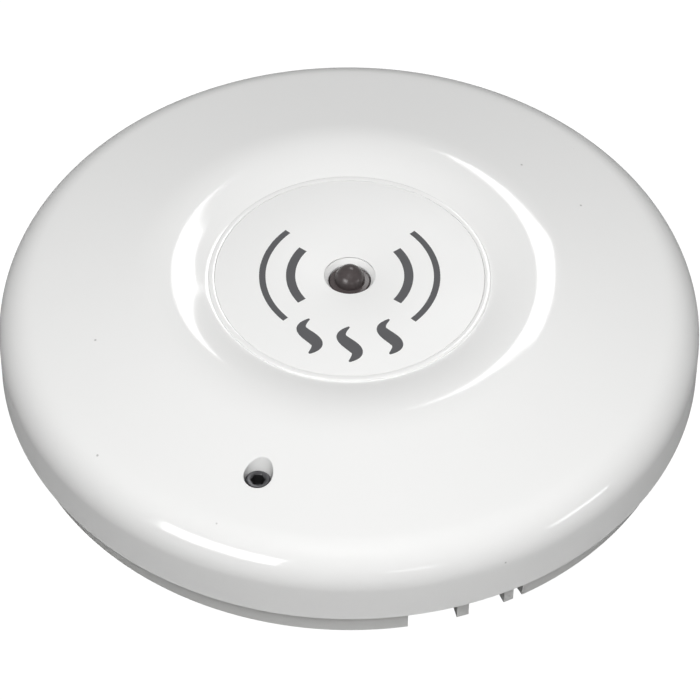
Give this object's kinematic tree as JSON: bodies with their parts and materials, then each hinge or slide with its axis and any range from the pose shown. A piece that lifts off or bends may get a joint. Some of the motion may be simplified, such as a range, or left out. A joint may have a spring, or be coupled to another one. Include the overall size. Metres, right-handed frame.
{
  "type": "smoke detector",
  "caption": "Low round ceiling smoke detector: twist-lock base, optical head, push-on domed cover, centre indicator and hex locking screw.",
  "frame": {"origin": "centre of the back of the mounting base, in the plane that lies against the ceiling or stands on a table", "axes": "+Z out of the back face into the room, -Y towards the locking screw and the front cable openings, +X to the right"},
  "size_m": [0.1152, 0.1152, 0.0231],
  "materials": {
    "cover_white": "moulded white ABS, high gloss",
    "base_white": "moulded white ABS, satin",
    "label_white": "satin printed polyester label",
    "chamber_black": "spark-eroded black polycarbonate",
    "smoked_acrylic": "polished smoked acrylic",
    "clear_epoxy": "clear cast epoxy",
    "board_laminate": "green solder mask on glass laminate",
    "component_black": "moulded black epoxy",
    "capacitor_sleeve": "shrunk blue sleeve",
    "rubber_grey": "moulded EPDM rubber",
    "natural_nylon": "natural nylon",
    "contact_bronze": "rolled phosphor bronze",
    "turned_brass": "turned brass",
    "zinc_plate": "bright zinc-plated steel",
    "screen_steel": "etched stainless screen",
    "black_oxide_steel": "black-oxide alloy steel"
  },
  "bodies": {
    "base": {"mounting_base": "base_white", "cable_grommet": "rubber_grey", "base_contact_1": "contact_bronze", "terminal_washer_1": "zinc_plate", "terminal_screw_1": "zinc_plate", "base_contact_2": "contact_bronze", "terminal_washer_2": "zinc_plate", "terminal_screw_2": "zinc_plate", "base_contact_3": "contact_bronze", "terminal_washer_3": "zinc_plate", "terminal_screw_3": "zinc_plate", "base_contact_4": "contact_bronze", "terminal_washer_4": "zinc_plate", "terminal_screw_4": "zinc_plate"},
    "head": {"head_chassis": "base_white", "circuit_board": "board_laminate", "controller_chip": "component_black", "surge_suppressor": "component_black", "bridge_rectifier": "component_black", "smoothing_capacitor": "capacitor_sleeve", "indicator_led": "clear_epoxy", "indicator_lens": "smoked_acrylic", "chamber_labyrinth": "chamber_black", "chamber_cap": "chamber_black", "insect_screen": "screen_steel", "infrared_emitter": "clear_epoxy", "photodiode": "component_black", "threaded_insert": "turned_brass", "head_contact_1": "contact_bronze", "board_screw_1": "zinc_plate", "head_contact_2": "contact_bronze", "board_screw_2": "zinc_plate", "head_contact_3": "contact_bronze", "board_screw_3": "zinc_plate", "head_contact_4": "contact_bronze", "board_screw_4": "zinc_plate"},
    "cover": {"cover": "cover_white", "centre_label": "label_white"},
    "screw_pad": {"screw_pressure_pad": "natural_nylon"},
    "screw": {"locking_screw": "black_oxide_steel"}
  },
  "joints": [
    {"name": "head_twist", "type": "hinge", "parent": "base", "child": "head", "pos_m": [0, 0, 0.0077], "axis": [0, 0, 1], "range_deg": [0, 15]},
    {"name": "cover_lift", "type": "slide", "parent": "head", "child": "cover", "axis": [0, 0, 1], "range_m": [0, 0.03]},
    {"name": "screw_travel", "type": "slide", "parent": "head", "child": "screw_pad", "axis": [0, 0, 1], "range_m": [0, 0.0014]},
    {"name": "screw_turn", "type": "hinge", "parent": "screw_pad", "child": "screw", "pos_m": [-0.01385, -0.04139, 0.0111], "axis": [0, 0, 1], "range_deg": [0, 720]}
  ],
  "couplings": [
    {"joint": "screw_turn", "follows": "screw_travel", "rad_per_m": 8976}
  ]
}
